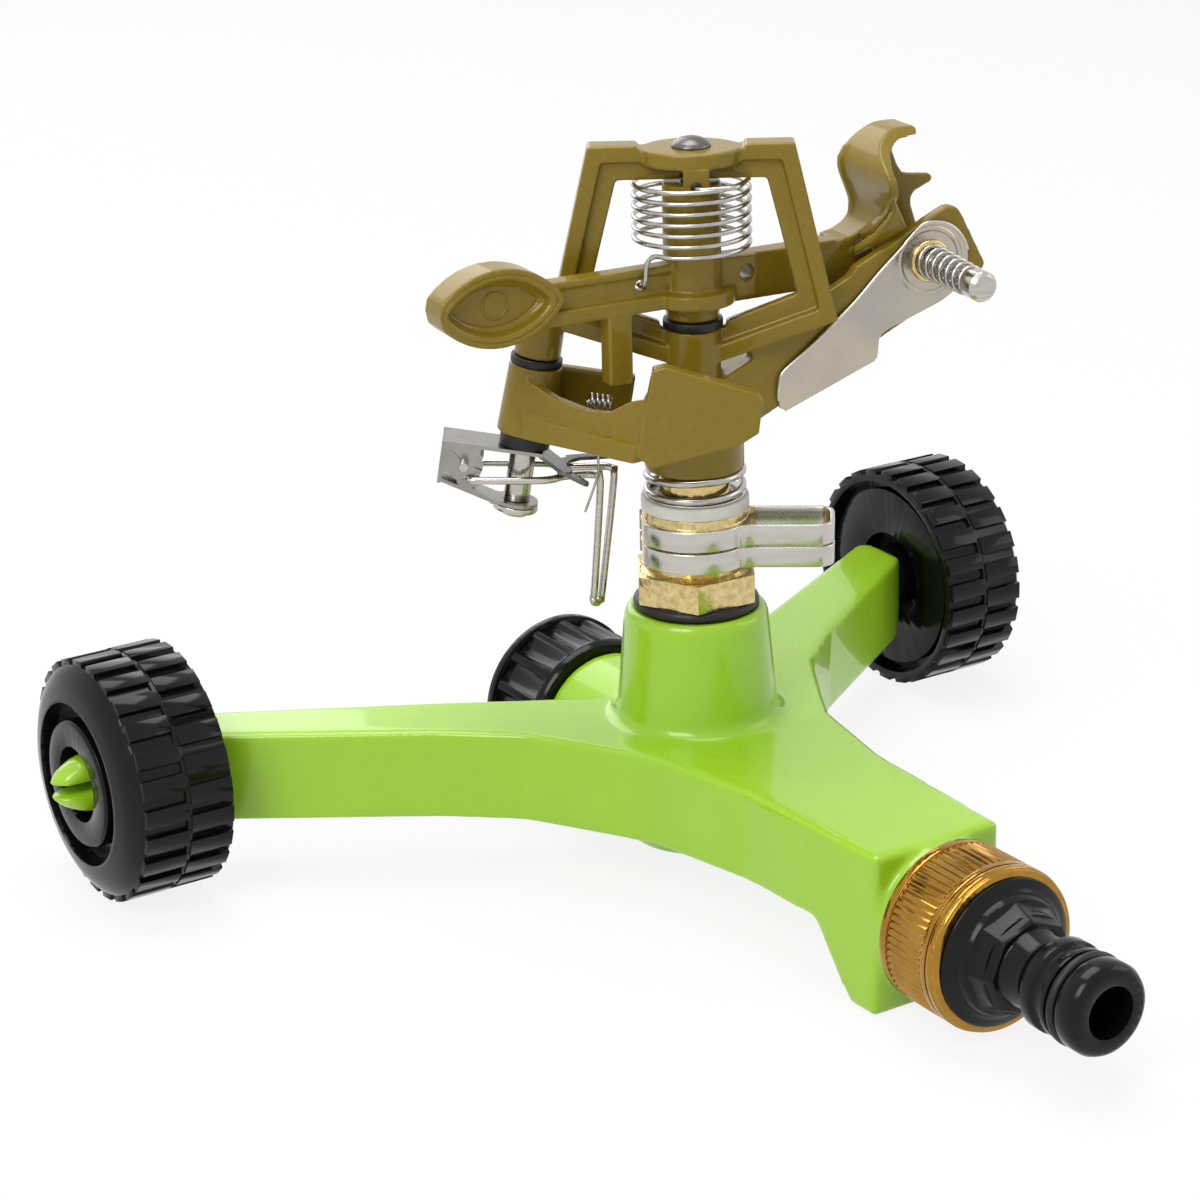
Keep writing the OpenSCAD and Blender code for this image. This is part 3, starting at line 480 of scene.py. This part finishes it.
def lathe(profile, place, steps=96):
    """A turned ring: its closed section of (radius, height) points in mm, about local Z."""
    bm = bmesh.new()
    rings = []
    for k in range(steps):
        a = 2 * math.pi * k / steps
        rings.append([bm.verts.new((place @ Vector((r * math.cos(a), r * math.sin(a), z))) * MM)
                      for r, z in profile])
    for k in range(steps):
        band(bm, rings[k], rings[(k + 1) % steps])
    bmesh.ops.remove_doubles(bm, verts=bm.verts, dist=1e-7)
    return close_up(bm)


def blunt_tip(o, place, limit):
    """Draws the points beyond a limit along the local X back towards it."""
    back = place.inverted()
    for v in o.data.vertices:
        q = back @ (v.co / MM)
        if q.x < limit:
            q.x = limit + (q.x - limit) * 0.3
            v.co = (place @ q) * MM


def plate(outline, place, y0, y1):
    """A sheet over an outline of (x, z) points in mm, from y0 to y1."""
    bm = bmesh.new()
    front = [bm.verts.new((place @ Vector((x, y0, z))) * MM) for x, z in outline]
    back = [bm.verts.new((place @ Vector((x, y1, z))) * MM) for x, z in outline]
    return capped(bm, [front, back])


# castings
cast("base_body", "base_casting", "base", "green", 0.55, 26)
cast("head_body", "head_casting", "head", "olive", 0.26, 17)
arm = cast("arm_body", "hammer_arm", "arm", "olive", 0.24, 13)
blunt_tip(arm, ARM, ARM_TIP_X)
cast("lever_body", "reversing_lever", "lever", "olive", 0.22, 16)

# pieces that follow the CAD form with small bevels
for side in ("left", "right"):
    edged(side + "_tyre", side + "_wheel", side + "_wheel", "black", 0.25)
edged("ring_gold", "coupling_ring", "coupling", "gold", 0.12, angle=25)
edged("spigot", "tap_adapter", "adapter", "black", 0.3)
flange = [(9, 18.42), (13.75, 18.42), (13.95, 18.6), (13.95, 18.9), (13.7, 19.1), (12.7, 19.35),
          (11.9, 19.7), (11.3, 20.3), (9, 20.3)]
add("spigot_flange", lathe(flange, INLET), "adapter", "black")
edged("cap_fluted", "rear_cap", "outlet_cap", "black", 0.3)
edged("hex_nipple", "nipple", "base", "brass", 0.35)
edged("tube", "bearing_tube", "head", "tube", 0.2)
edged("nylon", "nylon_washer", "head", "nylon", 0.25)
edged("riser_washer", "steel_washer", "head", "steel", 0.1)
edged("pin_button", "deflector_pin", "head", "steel", 0.25, 3)

# trip bracket: flat faces, with the fork in a darker finish
bracket = add("bracket", weld("trip_bracket"), "trip", "bracket", smooth=False)
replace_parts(bracket, "trip_bracket")
bracket.data.materials.append(FINISH["dark_steel"])
for face in bracket.data.polygons:
    q = HEAD.inverted() @ (face.center / MM)
    if q.x > FORK_X and q.z > FORK_Z:
        face.material_index = 1

# pins, sleeves, washers and the nozzle, with small bevels too
edged("cross_pin", "trip_cross_pin", "trip", "steel", 0.15)
dome = edged("dome_pin", "arm_pin", "head", "dark_steel", 0.15)
edged("sleeve", "post_sleeve", "head", "steel", 0.1)
edged("post_end", "post_washer", "head", "steel", 0.15)
edged("post_rivet", "post_pin", "head", "steel", 0.2)
edged("lever_disc", "lever_washer", "head", "rubber", 0.2)
edged("lever_foot", "lever_bush", "head", "rubber", 0.3)
edged("arm_disc", "arm_washer", "head", "rubber", 0.25)
edged("nozzle", "jet_nozzle", "head", "tube", 0.15)

# domed head of the arm pin, made flatter than in the CAD
dome_foot = DOME_FOOT_Z * MM
dome_share = 0.66
for v in dome.data.vertices:
    if v.co.z > dome_foot:
        v.co.z = dome_foot + (v.co.z - dome_foot) * dome_share

# flap: the sheet with its round end, its bent lip, a pressed ring about the pin and a rolled upper edge
FLAP_TIP = (60.7, -1)
flap_line = rounded([
    (14.1, -5.3), (13.9, -6.2), (14.6, -6.9), (20, -7.5), (28, -8.5), (34.2, -9.2), (35.3, -9),
    (36, -8.1), (36.9, -6.6), (37.8, -5.6), (39.4, -5.3), (43, -5.7), (48, -6.3), (52.3, -6.7),
    (56, -6), (59, -4), FLAP_TIP, (60.9, 2.2), (59.9, 5.3), (57.8, 7.5), (55.2, 8.7),
    (52.4, 8.3), (49.3, 7.2), (43.1, 5.5), (36.8, 3.5), (30.8, 2.1), (24.8, 0.9), (19, 0), (17, -0.7),
    (15.6, -2.4)])
flap = add("flap_sheet", plate(flap_line, BARREL, FLAP_FRONT_Y, FLAP_BACK_Y), "flap", "flap")
bevelled(flap, 0.22)
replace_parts(flap, "deflector_flap")
lip_line = [(14.6, -7.4), (34.8, -9.3), (34.8, -8.6), (14.6, -6.7)]
bevelled(add("flap_lip", plate(lip_line, BARREL, -5.8, -1.5), "flap", "flap"), 0.2)
ridge = [(5.6, -0.3), (6.9, -0.3), (6.75, 0.05), (6.4, 0.22), (6.0, 0.2), (5.7, 0)]
add("flap_emboss", lathe(ridge, FLAP_FACE), "flap", "flap")
to_tip = [abs(x - FLAP_TIP[0]) + abs(z - FLAP_TIP[1]) for x, z in flap_line]
upper_edge = [Vector((x, FLAP_FRONT_Y + 0.22, z)) for x, z in flap_line[to_tip.index(min(to_tip)):]]
add("flap_edge", swept(upper_edge, 0.42, BARREL, 10), "flap", "steel")
seat = [(2.3, 0), (4.1, 0), (4.1, 0.35), (3.8, 0.6), (2.3, 0.6)]
add("spring_seat", lathe(seat, FLAP_FACE @ move(0, 0, 0.02)), "flap", "tube")


# collars: a bent strip from one free end round the seat, out to the tab and back to the other end
def strip(path, place, z0, h, t, e=0.24):
    """A strip on edge along a flat path, h high and t thick, with its corners rounded over e."""
    low = [(t / 2 - e, 0), (t / 2 - e * 0.3, e * 0.3), (t / 2, e)]
    half = low + [(a, h - b) for a, b in reversed(low)]
    section = half + [(-a, b) for a, b in reversed(half)]
    bm = bmesh.new()
    rings = []
    for i, p in enumerate(path):
        d = (path[min(i + 1, len(path) - 1)] - path[max(i - 1, 0)]).normalized()
        side = Vector((d.y, -d.x, 0))
        rings.append([bm.verts.new((place @ (p + side * a + Vector((0, 0, z0 + b)))) * MM)
                      for a, b in section])
    return capped(bm, rings)


def on_seat(deg):
    return (COLLAR_R * math.cos(math.radians(deg)), COLLAR_R * math.sin(math.radians(deg)), 0)


collar_line = smooth_path(
    [on_seat(a) for a in range(211, 323, 10)]
    + [(9.5, -6.6, 0), (11, -6.2, 0), (13, -6.15, 0), (18, -6.15, 0), (23.2, -6.15, 0), (24.6, -5.8, 0),
       (25.7, -4.7, 0), (26.05, -3.2, 0), (26.05, 0, 0), (26.05, 1.8, 0), (25.7, 3.3, 0), (24.6, 4.3, 0),
       (23, 4.55, 0), (18, 4.55, 0), (13, 4.55, 0), (11.2, 4.6, 0), (10, 5.1, 0)]
    + [on_seat(a) for a in range(35, 166, 10)])
collar_place = HEAD @ turn(COLLAR_TURN, "Z")
collars = (("collar_low", "lower_collar", LOWER_COLLAR_Z), ("collar_up", "upper_collar", UPPER_COLLAR_Z))
for name, node, z in collars:
    collar = strip(collar_line, collar_place, z, COLLAR_HEIGHT, COLLAR_THICK)
    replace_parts(add(name, collar, node, "sheet"), node)

# skin that runs from the spoon's shield over to its side wall
bm = bmesh.new()
shield_edge = [(35.1, -12.0, 132.9), (35.9, -10.2, 130.3), (36.8, -8, 127.9), (37.0, -6, 126.2),
               (36.0, -4.3, 124.4), (34.2, -2.9, 122.6)]
wall_edge = [(35.6, -13.3, 130.6), (36.4, -11.5, 128.6), (36.9, -9.6, 126.7), (36.9, -7.6, 124.9),
             (35.8, -5.7, 122.9), (34.2, -4.2, 121.0)]
inner = [(x + 1.2, y + 1.6, z - 0.6) for x, y, z in wall_edge]
rows = [[bm.verts.new((ARM @ Vector(q)) * MM) for q in row] for row in (shield_edge, wall_edge, inner)]
for a, b in ((0, 1), (1, 2), (2, 0)):
    for i in range(len(wall_edge) - 1):
        bm.faces.new((rows[a][i], rows[a][i + 1], rows[b][i + 1], rows[b][i]))
bm.faces.new([r[0] for r in rows])
bm.faces.new([r[-1] for r in reversed(rows)])
add("spoon_skin", close_up(bm), "arm", "olive")

# lug that holds the upper end of the arm spring
lug_line = [(-1.7, 140), (-1.7, 135.4), (-1.5, 134.4), (-0.9, 133.6), (0, 133.1), (0.7, 133), (1.4, 133.1),
            (2.3, 133.6), (2.9, 134.4), (3.1, 135.4), (3.1, 140)]
lug = plate(lug_line, HEAD, LUG_FRONT_Y, LUG_BACK_Y)
bevelled(add("bridge_lug", lug, "head", "olive"), 0.35)
# painted shade: a thin black ring on the lug's front face stands in for the dark inside of the eye, which is
# not cut through the lug
eye_shade_ring = [(0.05, 0), (1.05, 0), (1.05, 0.14), (0.05, 0.14)]
eye_shade_place = HEAD @ move(LUG_EYE_X, LUG_FRONT_Y + 0.02, LUG_EYE_Z) @ turn(90, "X")
add("lug_eye_painted_shade", lathe(eye_shade_ring, eye_shade_place, 32), "head", "rubber")


# cup: the slopes of its rim, and the ring in its floor
def cup_line(k, n=22):
    """The cup's pointed oval of two arcs in x and z, drawn in by k."""
    reach = CUP_REACH - k
    rise = CUP_RISE - 0.8 * k
    radius = (reach * reach + rise * rise) / (2 * rise)
    half = math.asin(reach / radius) * 0.95
    angles = [half * (2 * i / n - 1) for i in range(n + 1)]
    up = [(radius * math.sin(a), rise - radius + radius * math.cos(a)) for a in angles]
    return up + [(-x, -z) for x, z in up]


def loft(lines, place):
    """Bands between closed outlines of (y, points in x and z), all of one length, joined end to start."""
    bm = bmesh.new()
    rings = [[bm.verts.new((place @ Vector((x, y, z))) * MM) for x, z in line] for y, line in lines]
    for i in range(len(rings)):
        band(bm, rings[i - 1], rings[i])
    return close_up(bm)


rim = [(-3.2, 1.2), (-3.85, 1.3), (-3.97, 1.8), (-3.85, 2.4), (-3.4, 2.8), (-2.6, 3.1), (-1.9, 3.5),
       (-1.65, 4.1), (-1.3, 4.6), (-1.0, 4.6)]
cup_place = ARM @ move(CUP_X, 0, CUP_Z)
add("cup_rim", loft([(y, cup_line(k)) for y, k in rim], cup_place), "arm", "olive")
ring = [(2.15, -0.3), (2.75, -0.3), (2.7, 0.1), (2.45, 0.25), (2.2, 0.1)]
add("cup_ring", lathe(ring, cup_place @ move(0, -1.2, 0) @ turn(90, "X"), 64), "arm", "olive")


# wires: the four springs and the hairpin
def wire(name, node, path, radius, place, body, sides=12, mat="wire"):
    """One wire in the place of its CAD node."""
    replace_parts(add(name, swept(path, radius, place, sides), body, mat), node)


arm_foot = [turn(ARM_YAW, "Z") @ Vector(p) for p in (
    (-11.4, 0.6, 118.1), (-11.4, -1.8, 118.1), (-11.4, -2.7, 118.7), (-11.3, -2.8, 119.8),
    (-11.2, -2.8, 121.5), (-10.9, -2.9, 122.7))]
arm_turns = helix((ARM_COIL_R, ARM_COIL_R), ARM_COIL_Z, ARM_COIL_TURNS, 228, 16)
arm_end = [(8, -8.6, 136.8), (4.6, -9.4, 136.7), (1.8, -9.4, 136.6), (0.7, -8.6, 136.6), (0.7, -6.4, 136.6)]
wire("arm_coil", "arm_spring", smooth_path(arm_foot + arm_turns + arm_end, 0.6), ARM_WIRE_R, HEAD, "head")

# two turns, which lie flat over their first and last half turn
riser_turns = []
for i in range(121):
    a = math.radians(100 + 6 * i)
    q = min(max((i - 30) / 60, 0), 1)
    rise = RISER_COIL_RISE * (q * q * (3 - 2 * q) * 0.3 + 0.7 * q)
    riser_turns.append(Vector((RISER_COIL_R * math.cos(a), RISER_COIL_R * math.sin(a), RISER_COIL_Z + rise)))
wire("riser_coil", "riser_spring", riser_turns, RISER_WIRE_R, HEAD, "head", 14)

flap_turns = helix(FLAP_COIL_R, FLAP_COIL_Z, FLAP_COIL_TURNS, 0, 32)
wire("flap_coil", "deflector_spring", flap_turns, FLAP_WIRE_R, DEFLECTOR, "head")

trip_leg = [(13.1, -4, -19.6), (14.2, -4.5, -13.3), (14.3, -6.1, -10.3), (13.9, -6.8, -7.8),
            (13.62, -7, -3.6), (13.62, -7, -0.8), (12.6, -7, 1.2)]
trip_helix = helix((TRIP_COIL_R, TRIP_COIL_R), (0, TRIP_COIL_LENGTH), TRIP_COIL_TURNS, 180, 12)
trip_turns = [Vector((10.2 + q.z, -6 + q.x, 3.1 + q.y)) for q in trip_helix]
wire("trip_coil", "trip_spring", smooth_path(trip_leg + trip_turns, 0.3), TRIP_WIRE_R, POST, "lever", 8)

hairpin_line = [
    (-42.55, -3.1, 80.75), (-42.55, -4.9, 80.75), (-42.2, -5.35, 80.75), (-41.4, -5.4, 80.75),
    (-29, -5.1, 80.4), (-24.5, -2.8, 80.35), (-20.5, -2.3, 80.45), (-18.6, -2.3, 80.2), (-17.9, -2.4, 79.2),
    (-19.4, -2, 58), (-19.8, -1.9, 55.6), (-19.6, -1.6, 54.4), (-18.9, -0.9, 54.1),
    (-18.3, -0.2, 54.6), (-18, 0.1, 56), (-15.3, 1.8, 78.4), (-15.8, 2.2, 80.1), (-17.4, 2.3, 80.45),
    (-24.5, 2.8, 80.35), (-29, 5.1, 80.4), (-41.4, 5.4, 80.75), (-42.2, 5.35, 80.75),
    (-42.55, 4.9, 80.75), (-42.55, 3.1, 80.75)]
wire("hairpin", "trip_wire", smooth_path(hairpin_line), HAIRPIN_WIRE_R, HEAD, "hairpin", mat="steel")

# seals and washers that keep their CAD mesh
for node, mat in (("boss_oring", "rubber"), ("adapter_oring", "rubber"), ("inlet_washer", "grey_rubber"),
                  ("cap_washer", "grey_rubber"), ("bearing_washer", "nylon"), ("bearing_seal", "rubber")):
    o = frame["nodes"][node]
    for i in range(max(1, len(o.material_slots))):
        if len(o.material_slots) <= i:
            o.data.materials.append(FINISH[mat])
        o.material_slots[i].material = FINISH[mat]


# stage
def largest(t, *sockets):
    """The largest of the values at the sockets."""
    last = sockets[0]
    for socket in sockets[1:]:
        m = t.nodes.new("ShaderNodeMath")
        m.operation = "MAXIMUM"
        t.links.new(last, m.inputs[0])
        t.links.new(socket, m.inputs[1])
        last = m.outputs[0]
    return last


def seen(t):
    """One for rays from the camera, a mirror or a glass, and nothing for the rays that light the part."""
    lp = t.nodes.new("ShaderNodeLightPath")
    return largest(t, *(lp.outputs["Is %s Ray" % kind] for kind in ("Camera", "Glossy", "Transmission")))


def floor():
    """A white floor, mostly its own light where it is seen, and plain where it lights the part."""
    me = bpy.data.meshes.new("floor")
    s = 3.0
    z = -0.0003
    me.from_pydata([(-s, -s, z), (s, -s, z), (s, s, z), (-s, s, z)], [], [(0, 1, 2, 3)])
    o = bpy.data.objects.new("floor", me)
    scene.collection.objects.link(o)
    m = bpy.data.materials.new("floor")
    m.use_nodes = True
    t = m.node_tree
    t.nodes.clear()
    out = t.nodes.new("ShaderNodeOutputMaterial")
    mix = t.nodes.new("ShaderNodeMixShader")
    d = t.nodes.new("ShaderNodeBsdfDiffuse")
    d.inputs[0].default_value = (0.9, 0.9, 0.9, 1)
    e = t.nodes.new("ShaderNodeEmission")
    e.inputs[0].default_value = (1, 1, 1, 1)
    e.inputs[1].default_value = 1
    part = t.nodes.new("ShaderNodeMath")
    part.operation = "MULTIPLY"
    part.inputs[1].default_value = 0.86
    t.links.new(seen(t), part.inputs[0])
    t.links.new(part.outputs[0], mix.inputs[0])
    t.links.new(d.outputs[0], mix.inputs[1])
    t.links.new(e.outputs[0], mix.inputs[2])
    t.links.new(mix.outputs[0], out.inputs[0])
    me.materials.append(m)


def world():
    """White behind the part, and a weaker white that lights it."""
    w = bpy.data.worlds.new("world")
    scene.world = w
    w.use_nodes = True
    t = w.node_tree
    t.nodes.clear()
    out = t.nodes.new("ShaderNodeOutputWorld")
    mix = t.nodes.new("ShaderNodeMixShader")
    low = t.nodes.new("ShaderNodeBackground")
    low.inputs[0].default_value = (1, 1, 1, 1)
    low.inputs[1].default_value = 0.30
    high = t.nodes.new("ShaderNodeBackground")
    high.inputs[0].default_value = (1, 1, 1, 1)
    high.inputs[1].default_value = 1
    t.links.new(seen(t), mix.inputs[0])
    t.links.new(low.outputs[0], mix.inputs[1])
    t.links.new(high.outputs[0], mix.inputs[2])
    t.links.new(mix.outputs[0], out.inputs[0])


def lamp(name, place, target, size, watts):
    """A square lamp at a place in metres, turned to a target."""
    data = bpy.data.lights.new(name, "AREA")
    data.shape = "RECTANGLE"
    data.size = size
    data.size_y = size
    data.energy = watts
    o = bpy.data.objects.new(name, data)
    o.location = place
    o.rotation_euler = (Vector(target) - Vector(place)).to_track_quat("-Z", "Y").to_euler()
    scene.collection.objects.link(o)


floor()
world()
lamp("key", (-0.66, -0.32, 0.74), (0, 0, 0.06), 0.5, 5.4)
lamp("fill", (0.75, -0.35, 0.45), (0, 0, 0.07), 0.5, 1.1)
lamp("top", (0.0, 0.15, 0.95), (0, 0, 0.05), 0.6, 5.2)
lamp("back", (0.1, 0.9, 0.5), (0, 0, 0.08), 0.6, 2.0)

scene.view_settings.view_transform = "Standard"

bpy.context.view_layer.update()
